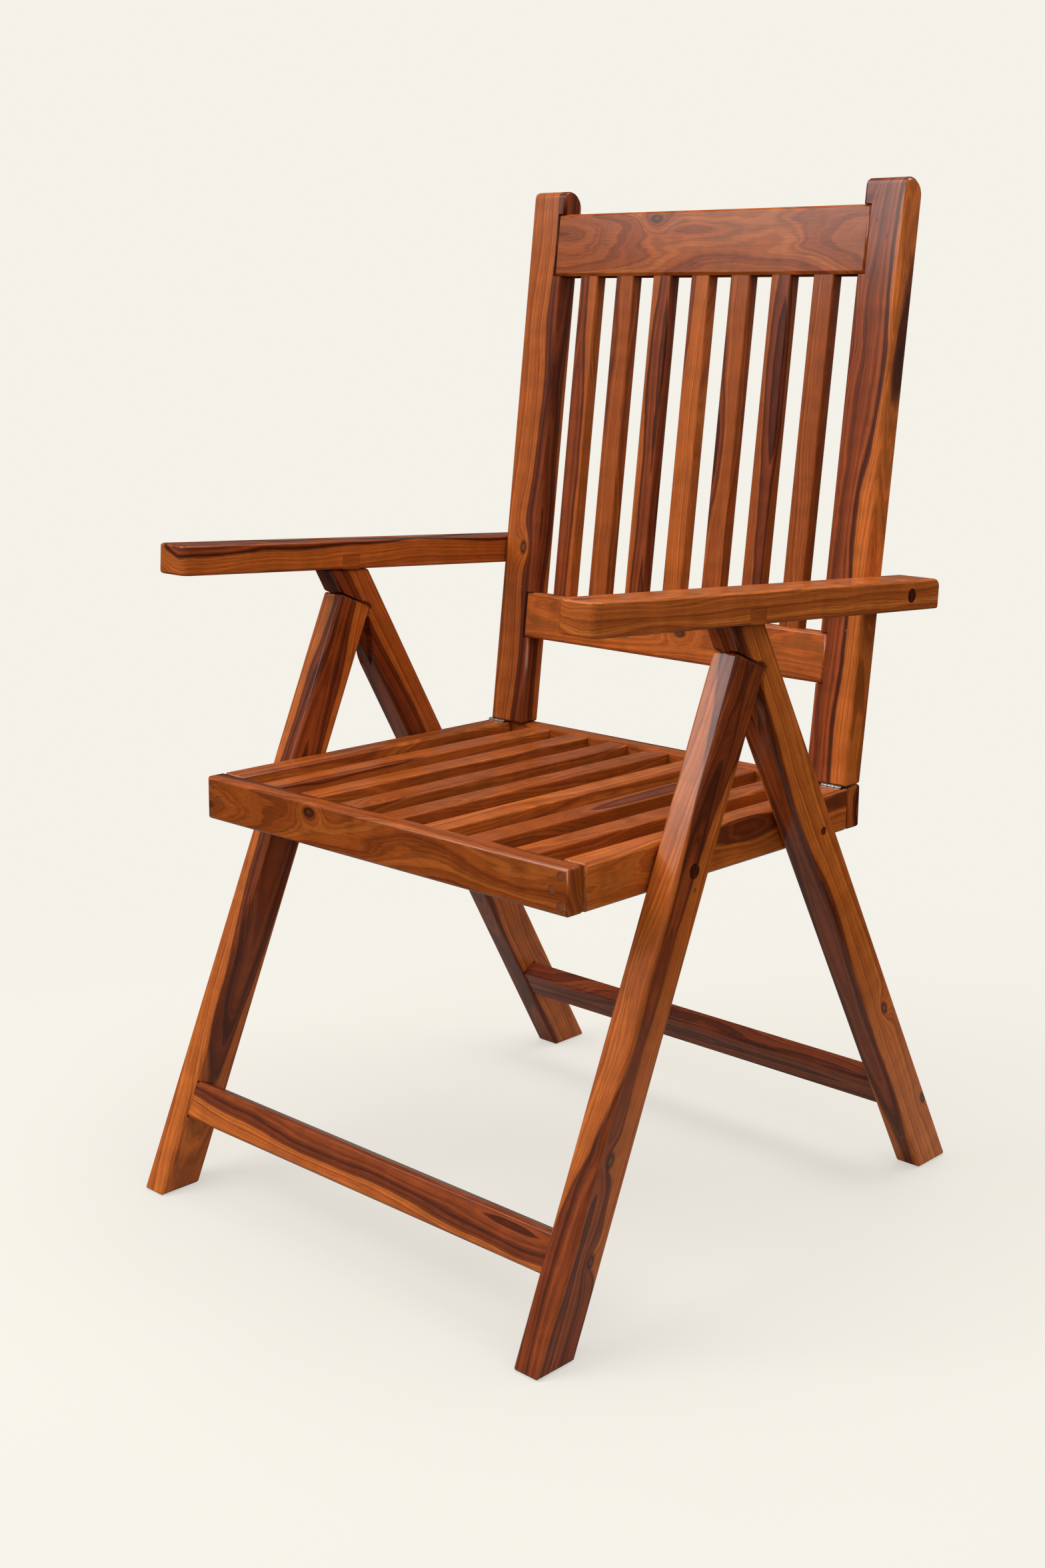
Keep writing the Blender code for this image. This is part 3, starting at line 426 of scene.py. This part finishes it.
def slat_row():
    """Rounded bars side by side along X, each with its own place in a log."""
    tree = bpy.data.node_groups.new("slat_row", 'GeometryNodeTree')
    tree.is_modifier = True
    for name, kind in (("Count", 'NodeSocketInt'), ("Pitch", 'NodeSocketFloat'),
                       ("Width", 'NodeSocketFloat'), ("Thickness", 'NodeSocketFloat'),
                       ("Length", 'NodeSocketFloat'), ("Arris", 'NodeSocketFloat'),
                       ("Seed", 'NodeSocketInt'), ("Wood", 'NodeSocketMaterial')):
        tree.interface.new_socket(name=name, in_out='INPUT', socket_type=kind)
    tree.interface.new_socket(name="Slats", in_out='OUTPUT', socket_type='NodeSocketGeometry')
    given = tree.nodes.new('NodeGroupInput').outputs
    half = maths(tree, 'MULTIPLY', given["Length"], 0.5)
    near = add_node(tree, 'ShaderNodeCombineXYZ', {"Y": maths(tree, 'MULTIPLY', half, -1.0)})
    far = add_node(tree, 'ShaderNodeCombineXYZ', {"Y": half})
    spine = add_node(tree, 'GeometryNodeCurvePrimitiveLine',
                     {"Start": near.outputs[0], "End": far.outputs[0]})
    outline = add_node(tree, 'GeometryNodeCurvePrimitiveQuadrilateral',
                       {"Width": given["Width"], "Height": given["Thickness"]})
    rounded = add_node(tree, 'GeometryNodeFilletCurve',
                       {"Curve": outline.outputs[0], "Radius": given["Arris"], "Count": 4},
                       mode='POLY')
    bar = add_node(tree, 'GeometryNodeCurveToMesh',
                   {"Curve": spine.outputs[0], "Profile Curve": rounded.outputs[0],
                    "Fill Caps": True})
    place = add_node(tree, 'GeometryNodeInputPosition').outputs[0]
    sawn = add_node(tree, 'GeometryNodeStoreNamedAttribute',
                    {"Geometry": bar.outputs[0], "Name": "log", "Value": place},
                    data_type='FLOAT_VECTOR')
    gaps = maths(tree, 'SUBTRACT', given["Count"], 1.0)
    first = maths(tree, 'MULTIPLY', maths(tree, 'MULTIPLY', gaps, given["Pitch"]), -0.5)
    step = add_node(tree, 'ShaderNodeCombineXYZ', {"X": given["Pitch"]})
    start = add_node(tree, 'ShaderNodeCombineXYZ', {"X": first})
    row = add_node(tree, 'GeometryNodeMeshLine',
                   {"Count": given["Count"], "Start Location": start.outputs[0],
                    "Offset": step.outputs[0]})
    bars = add_node(tree, 'GeometryNodeInstanceOnPoints',
                    {"Points": row.outputs[0], "Instance": sawn.outputs[0]})
    number = add_node(tree, 'GeometryNodeInputIndex').outputs[0]
    numbered = add_node(tree, 'GeometryNodeStoreNamedAttribute',
                        {"Geometry": bars.outputs[0], "Name": "slat", "Value": number},
                        data_type='INT', domain='INSTANCE')
    solid = add_node(tree, 'GeometryNodeRealizeInstances', {"Geometry": numbered.outputs[0]})
    slat = add_node(tree, 'GeometryNodeInputNamedAttribute', {"Name": "slat"},
                    data_type='INT').outputs[0]
    log = add_node(tree, 'GeometryNodeInputNamedAttribute', {"Name": "log"},
                   data_type='FLOAT_VECTOR').outputs[0]

    def drawn(kind, low, high, shift):
        made = add_node(tree, 'FunctionNodeRandomValue', data_type=kind)
        seed = maths(tree, 'ADD', given["Seed"], shift)
        tree.links.new(slat, made.inputs["ID"])
        tree.links.new(seed, made.inputs["Seed"])
        sockets = [s for s in made.inputs if s.enabled and s.name in ("Min", "Max")]
        sockets[0].default_value = low
        sockets[1].default_value = high
        return next(s for s in made.outputs if s.enabled)

    moved = add_node(tree, 'ShaderNodeVectorMath',
                     {0: log, 1: drawn('FLOAT_VECTOR', (-0.03, 20, -0.03), (0.03, 60, 0.03), 0)},
                     operation='ADD').outputs[0]
    shape = solid.outputs[0]
    for name, value, kind in (("log", moved, 'FLOAT_VECTOR'),
                              ("knot", FAR_AWAY, 'FLOAT_VECTOR'),
                              ("side_knot", FAR_AWAY, 'FLOAT_VECTOR'),
                              ("heart", drawn('FLOAT', 0.002, 0.016, 1), 'FLOAT'),
                              ("tone", drawn('FLOAT', 0.66, 0.98, 2), 'FLOAT')):
        shape = add_node(tree, 'GeometryNodeStoreNamedAttribute',
                         {"Geometry": shape, "Name": name, "Value": value},
                         data_type=kind).outputs[0]
    painted = add_node(tree, 'GeometryNodeSetMaterial',
                       {"Geometry": shape, "Material": given["Wood"]})
    add_node(tree, 'NodeGroupOutput', {"Slats": painted.outputs[0]})
    return tree


SLAT_ROW = slat_row()


def set_inputs(modifier, tree, values):
    """Set a modifier's named inputs by their sockets' identifiers."""
    modifier.node_group = tree
    for item in tree.interface.items_tree:
        if item.in_out == 'INPUT' and item.name in values:
            modifier[item.identifier] = values[item.name]


def local_box(node, axes):
    """The CAD node's low and high along each of the given directions."""
    local = [axes @ vertex.co for vertex in CAD[node].data.vertices]
    return [(min(p[i] for p in local), max(p[i] for p in local)) for i in range(3)]


def slats(name, nodes, body, axes, seed):
    """One row of slats over its CAD nodes, measured in the row's own directions."""
    boxes = [local_box(node, axes) for node in nodes]
    size = [high - low for low, high in boxes[0]]
    middles = [sum(box[0]) / 2 for box in boxes]
    middle = Vector((sum(middles) / len(middles), sum(boxes[0][1]) / 2, sum(boxes[0][2]) / 2))
    piece = bpy.data.objects.new(name, bpy.data.meshes.new(name))
    bpy.context.scene.collection.objects.link(piece)
    set_inputs(piece.modifiers.new("row", 'NODES'), SLAT_ROW, {
        "Count": len(nodes), "Pitch": (max(middles) - min(middles)) / (len(nodes) - 1),
        "Width": size[0], "Thickness": size[2], "Length": size[1], "Arris": SLAT_ARRIS,
        "Seed": seed, "Wood": WOOD})
    mesh = settle_mesh(piece)
    turn = axes.transposed().to_4x4()
    mesh.transform(turn @ Matrix.Translation(middle))
    keep_flats(piece)
    settle_mesh(piece)
    return show(piece, body, "wood", *nodes)


SEAT_ROW_AXES = Matrix((ACROSS_CHAIR, BACKWARD, UPWARD)).to_3x3()
slats("seat_slats", [f"seat_slat_{n}" for n in range(1, 8)], "seat", SEAT_ROW_AXES, 5)

BACK_LEAN = math.atan(0.112)
UP_BACK = Vector((0, math.sin(BACK_LEAN), math.cos(BACK_LEAN)))
FRONT_OF_BACK = Vector((0, -math.cos(BACK_LEAN), math.sin(BACK_LEAN)))
BACK_ROW_AXES = Matrix((ACROSS_CHAIR, UP_BACK, FRONT_OF_BACK)).to_3x3()
slats("back_slats", [f"back_slat_{n}" for n in range(1, 8)], "back", BACK_ROW_AXES, 11)


# ---------------------------------------------------------------------------
# Back frame: two stiles with rounded tops, and the top and lower rails housed
# in them. The near stile is straight-grained heartwood with a sapwood edge.
# ---------------------------------------------------------------------------
STILE_AXES = board_axes(UP_BACK, ACROSS_CHAIR)
BACK_RAIL_AXES = board_axes(ACROSS_CHAIR, UP_BACK)
sawn_board("back_stile_left", "back", STILE_AXES, pith=(-0.034, 0.0), lean=(0.030, 0.0),
           heart=0.046, tone=1.12, start=15.6)
sawn_board("back_stile_right", "back", STILE_AXES, pith=(0.030, 0.010), lean=(0.03, 0.0),
           heart=0.019, tone=0.84, start=17.3, knots=((0.004, -0.10),))
sawn_board("back_top_rail", "back", BACK_RAIL_AXES, pith=(0.006, 0.052), heart=0.052,
           tone=0.68, start=18.4, knots=((0.026, -0.065),))
sawn_board("back_lower_rail", "back", BACK_RAIL_AXES, pith=(0.004, 0.045), heart=0.036,
           tone=0.90, start=19.9, knots=((0.004, 0.02),))


# ---------------------------------------------------------------------------
# Arms: flat boards that turn on the stiles and rest on the rear legs. A square
# block of darker wood is let into the underside of each over the leg's top.
# ---------------------------------------------------------------------------
ARM_PITCH = math.atan(0.0512)
ALONG_ARM = Vector((0, math.cos(ARM_PITCH), -math.sin(ARM_PITCH)))
ARM_AXES = board_axes(ALONG_ARM, ACROSS_CHAIR)
for side, pith, tone, start in (("left", (0.0, 0.062), 1.0, 21.0),
                                ("right", (0.01, 0.058), 0.94, 22.6)):
    sawn_board(f"arm_{side}", f"arm_{side}", ARM_AXES, pith=pith, heart=0.045, tone=tone,
               start=start, arris=0.0009)
    sawn_board(f"arm_block_{side}", f"arm_{side}", ARM_AXES, pith=(0.0, 0.03), heart=0.0,
               tone=0.70, start=start + 0.7, slot="dark_wood")


# ---------------------------------------------------------------------------
# Plugs and pegs: round stubs of dark wood glued over the bolt heads, and the
# dowels in the rear legs on which the seat hooks.
# ---------------------------------------------------------------------------
for side in ("left", "right"):
    for node, body in ((f"arm_pivot_plug_{side}", f"arm_{side}"),
                       (f"seat_pivot_plug_{side}", "front_legs"),
                       (f"seat_peg_{side}", "rear_legs")):
        sawn_board(node, body, board_axes(UPWARD, BACKWARD), pith=(0.0, 0.004), heart=0.05,
                   tone=0.42, start=24.0, slot="dark_wood")


# ---------------------------------------------------------------------------
# Fillings: dark stopping over the sunk screws of the front rail and in two small
# holes by the near seat bolt, and nails that pin the ends of slats and rails.
# ---------------------------------------------------------------------------
STOPPING_RADIUS = 0.0040
STOPPING_DEPTH = 0.00025
STOPPING_SUNK = 0.0003
NAIL_RADIUS = 0.0011
NAIL_PROUD = 0.00004
NAIL_PITCH = 0.056


def round_heads():
    """A short round stub at every given point, turned to face the way the point says."""
    tree = bpy.data.node_groups.new("round_heads", 'GeometryNodeTree')
    tree.is_modifier = True
    for name, kind in (("Places", 'NodeSocketGeometry'), ("Radius", 'NodeSocketFloat'),
                       ("Depth", 'NodeSocketFloat'), ("Filling", 'NodeSocketMaterial')):
        tree.interface.new_socket(name=name, in_out='INPUT', socket_type=kind)
    tree.interface.new_socket(name="Heads", in_out='OUTPUT', socket_type='NodeSocketGeometry')
    given = tree.nodes.new('NodeGroupInput').outputs
    stub = add_node(tree, 'GeometryNodeMeshCylinder',
                    {"Vertices": 20, "Radius": given["Radius"], "Depth": given["Depth"]})
    facing = add_node(tree, 'GeometryNodeInputNamedAttribute', {"Name": "facing"},
                      data_type='FLOAT_VECTOR').outputs[0]
    turn = add_node(tree, 'FunctionNodeAlignRotationToVector', {"Vector": facing}, axis='Z')
    heads = add_node(tree, 'GeometryNodeInstanceOnPoints',
                     {"Points": given["Places"], "Instance": stub.outputs[0],
                      "Rotation": turn.outputs[0]})
    solid = add_node(tree, 'GeometryNodeRealizeInstances', {"Geometry": heads.outputs[0]})
    painted = add_node(tree, 'GeometryNodeSetMaterial',
                       {"Geometry": solid.outputs[0], "Material": given["Filling"]})
    add_node(tree, 'NodeGroupOutput', {"Heads": painted.outputs[0]})
    return tree


def wax_stopping():
    """Dark stopping: uneven brown, nearly matt."""
    material = bpy.data.materials.new("wax_stopping")
    material.use_nodes = True
    tree = material.node_tree
    where = add_node(tree, 'ShaderNodeTexCoord').outputs["Object"]
    cloud = noise(tree, scaled(tree, where, (700, 700, 700)), 3.0)
    shader = tree.nodes["Principled BSDF"]
    tree.links.new(colours(tree, cloud, ((0.35, KNOT_CORE), (0.65, HEART_RED))),
                   shader.inputs["Base Color"])
    shader.inputs["Roughness"].default_value = 0.5
    return material


ROUND_HEADS = round_heads()
STOPPING = wax_stopping()


def heads(name, body, places, radius, depth):
    """Heads at (place, facing) pairs, as one piece."""
    mesh = bpy.data.meshes.new(name)
    mesh.from_pydata([place for place, facing in places], [], [])
    mark(mesh, "facing", [facing for place, facing in places])
    piece = bpy.data.objects.new(name, mesh)
    bpy.context.scene.collection.objects.link(piece)
    set_inputs(piece.modifiers.new("heads", 'NODES'), ROUND_HEADS,
               {"Radius": radius, "Depth": depth, "Filling": STOPPING})
    settle_mesh(piece)
    return show(piece, body, "dark_wood")


def spots_on(node, axes, spots, around=None):
    """Points on a board's face, from places across and along it, or around another piece."""
    across_box, along_box, through_box = local_box(node, axes)
    if around:
        across_box, along_box, _ = local_box(around, axes)
    face = through_box[1] - NAIL_RADIUS / 2 + NAIL_PROUD
    turned = axes.transposed()
    facing = turned @ Vector((0, 0, 1))
    return [(turned @ Vector((sum(across_box) / 2 + across, sum(along_box) / 2 + along, face)),
             facing) for across, along in spots]


FORWARD = Vector((0, -1, 0))
stopping_y = local_box("seat_front_rail", SEAT_ROW_AXES)[1][0] + STOPPING_SUNK
stopped = []
for side in ("left", "right"):
    for number in (1, 2, 3):
        box = local_box(f"corner_screw_{side}_{number}", SEAT_ROW_AXES)
        stopped.append((Vector((sum(box[0]) / 2, stopping_y, sum(box[2]) / 2)), FORWARD))
heads("rail_stopping", "seat", stopped, STOPPING_RADIUS, STOPPING_DEPTH)

STILE_NAILS = ((-0.006, 0.262), (0.006, 0.246), (-0.004, -0.132), (0.007, -0.146))
nails = spots_on("back_stile_left", STILE_AXES, STILE_NAILS)
nails += spots_on("back_stile_right", STILE_AXES, STILE_NAILS)
nails += spots_on("back_top_rail", BACK_ROW_AXES,
                  [(NAIL_PITCH * gap, -0.030) for gap in (-2, 0, 1, 2)])
heads("back_nails", "back", nails, NAIL_RADIUS, NAIL_RADIUS)
leg_holes = spots_on("front_leg_left", FRONT_LEG_AXES, ((-0.007, -0.018), (0.008, -0.016)),
                     "seat_pivot_plug_left")
heads("leg_hole_fillings", "front_legs", leg_holes, 2 * NAIL_RADIUS, NAIL_RADIUS)


# ---------------------------------------------------------------------------
# Steel: zinc-plated butt hinges, knuckle pins and seat bolts, dulled by age.
# ---------------------------------------------------------------------------
ZINC = (0.46, 0.45, 0.42, 1)
ZINC_DULL = (0.24, 0.22, 0.19, 1)


def zinc_plate():
    material = bpy.data.materials.new("zinc_plate")
    material.use_nodes = True
    tree = material.node_tree
    where = add_node(tree, 'ShaderNodeTexCoord').outputs["Object"]
    cloud = noise(tree, scaled(tree, where, (260, 260, 260)), 4.0, 0.6)
    grit = noise(tree, scaled(tree, where, (2600, 2600, 2600)), 1.0)
    shader = tree.nodes["Principled BSDF"]
    tree.links.new(colours(tree, cloud, ((0.36, ZINC_DULL), (0.58, ZINC))),
                   shader.inputs["Base Color"])
    tree.links.new(stretch(tree, cloud, 0.3, 0.7, 0.55, 0.28), shader.inputs["Roughness"])
    relief = add_node(tree, 'ShaderNodeBump', {"Height": grit, "Strength": 0.2,
                                               "Distance": 0.0001})
    tree.links.new(relief.outputs[0], shader.inputs["Normal"])
    shader.inputs["Metallic"].default_value = 1.0
    return material


STEEL = zinc_plate()
for entry in frame["record"]["subparts"]:
    if entry["material_slot"] == "steel":
        CAD[entry["node"]].data.materials.clear()
        CAD[entry["node"]].data.materials.append(STEEL)


# ---------------------------------------------------------------------------
# Studio: seamless pale paper that fades into the background, a broad soft light
# in front to the left, a weaker one overhead, and a camera at 0.9 m.
# ---------------------------------------------------------------------------
PALE = (0.905, 0.880, 0.815, 1)
PAPER_GREY = (0.30, 0.292, 0.271, 1)
FLOOR_RADIUS = 14
FLOOR_DROP = 0.0004
SHADOW_REACH = (0.45, 1.25)
CAMERA_PLACE = Vector((1.345, -1.505, 0.910))
CAMERA_YAW = math.radians(42.689)
CAMERA_PITCH = math.radians(-11.181)
CAMERA_ROLL = math.radians(0.589)

world = bpy.data.worlds.new("studio")
bpy.context.scene.world = world
world.use_nodes = True
tree = world.node_tree
ray = add_node(tree, 'ShaderNodeLightPath').outputs
around = maths(tree, 'SUBTRACT', 0.80, maths(tree, 'MULTIPLY', ray["Is Glossy Ray"], 0.70))
around = maths(tree, 'MAXIMUM', around, ray["Is Camera Ray"])
tree.nodes["Background"].inputs["Color"].default_value = PALE
tree.links.new(around, tree.nodes["Background"].inputs["Strength"])

floor = bpy.data.objects.new("floor", bpy.data.meshes.new("floor"))
bpy.context.scene.collection.objects.link(floor)
bm = bmesh.new()
bmesh.ops.create_circle(bm, cap_ends=True, radius=FLOOR_RADIUS, segments=64)
bm.to_mesh(floor.data)
bm.free()
floor.location.z = -FLOOR_DROP
paper = bpy.data.materials.new("seamless_paper")
paper.use_nodes = True
tree = paper.node_tree
seen = add_node(tree, 'ShaderNodeLightPath').outputs["Is Camera Ray"]
where = add_node(tree, 'ShaderNodeTexCoord').outputs["Object"]
away = add_node(tree, 'ShaderNodeVectorMath', {0: where}, operation='LENGTH').outputs["Value"]
away = stretch(tree, away, *SHADOW_REACH)
glow = add_node(tree, 'ShaderNodeEmission',
                {"Color": PALE, "Strength": maths(tree, 'MULTIPLY', seen, 0.585)})
matt = add_node(tree, 'ShaderNodeBsdfDiffuse', {"Color": PAPER_GREY})
both = add_node(tree, 'ShaderNodeAddShader', {0: glow.outputs[0], 1: matt.outputs[0]})
plain = add_node(tree, 'ShaderNodeEmission', {"Color": PALE, "Strength": seen})
fade = add_node(tree, 'ShaderNodeMixShader', {0: away, 1: both.outputs[0], 2: plain.outputs[0]})
tree.links.new(fade.outputs[0], tree.nodes["Material Output"].inputs["Surface"])
floor.data.materials.append(paper)


def soft_light(name, place, target, size, power):
    light = bpy.data.lights.new(name, 'AREA')
    light.shape = 'RECTANGLE'
    light.size, light.size_y = size
    light.energy = power
    lamp = bpy.data.objects.new(name, light)
    lamp.location = place
    lamp.rotation_euler = (Vector(target) - Vector(place)).to_track_quat('-Z', 'Y').to_euler()
    bpy.context.scene.collection.objects.link(lamp)


soft_light("key", (-1.2, -2.2, 2.6), (0, 0, 0.5), (2.2, 2.2), 62)
soft_light("top", (0.4, 0.5, 3.0), (0, 0, 0.4), (2.4, 2.0), 42)

ahead = Vector((-math.sin(CAMERA_YAW) * math.cos(CAMERA_PITCH),
                math.cos(CAMERA_YAW) * math.cos(CAMERA_PITCH), math.sin(CAMERA_PITCH)))
level = Vector((math.cos(CAMERA_YAW), math.sin(CAMERA_YAW), 0))
above = level.cross(ahead)
right = level * math.cos(CAMERA_ROLL) + above * math.sin(CAMERA_ROLL)
upright = above * math.cos(CAMERA_ROLL) - level * math.sin(CAMERA_ROLL)
camera = bpy.data.objects.new("camera", bpy.data.cameras.new("camera"))
camera.matrix_world = (Matrix.Translation(CAMERA_PLACE)
                       @ Matrix((right, upright, -ahead)).transposed().to_4x4())
camera.data.sensor_fit = 'VERTICAL'
camera.data.sensor_height = 36
camera.data.lens = 45.63
camera.data.shift_x = -0.0049
camera.data.shift_y = -0.0485
camera.data.clip_start = 0.05
bpy.context.scene.collection.objects.link(camera)
bpy.context.scene.camera = camera
bpy.context.scene.view_settings.view_transform = 'Standard'
